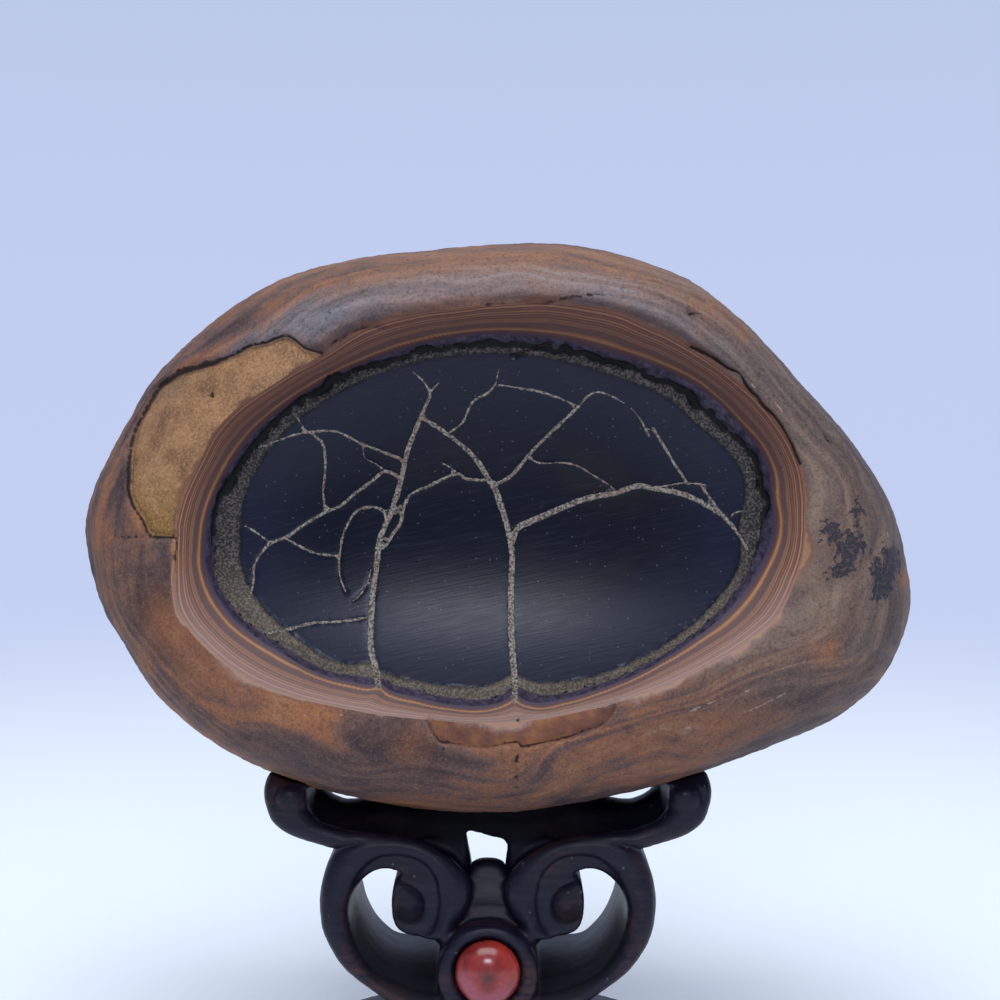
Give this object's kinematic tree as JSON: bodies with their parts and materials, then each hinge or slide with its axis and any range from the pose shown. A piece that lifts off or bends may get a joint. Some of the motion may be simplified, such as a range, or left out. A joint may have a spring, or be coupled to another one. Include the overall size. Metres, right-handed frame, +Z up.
{
  "type": "scholars rock on a carved wooden stand",
  "caption": "Oval banded septarian stone with a polished black face and pale veins, resting on a carved scroll stand with a round red cabochon.",
  "frame": {"origin": "on the ground, under the middle of the whole object's box", "axes": "+X to the right seen from the front, +Y to the back through the thickness, +Z up; the polished face looks towards -Y"},
  "size_m": [0.1554, 0.0752, 0.1584],
  "materials": {
    "banded_stone": "river-worn brown rind, honed black face",
    "black_hardwood": "black stained and waxed, semi-gloss",
    "red_cabochon": "polished"
  },
  "bodies": {
    "root": {"stone": "banded_stone", "stand": "black_hardwood", "cabochon": "red_cabochon"}
  },
  "joints": []
}
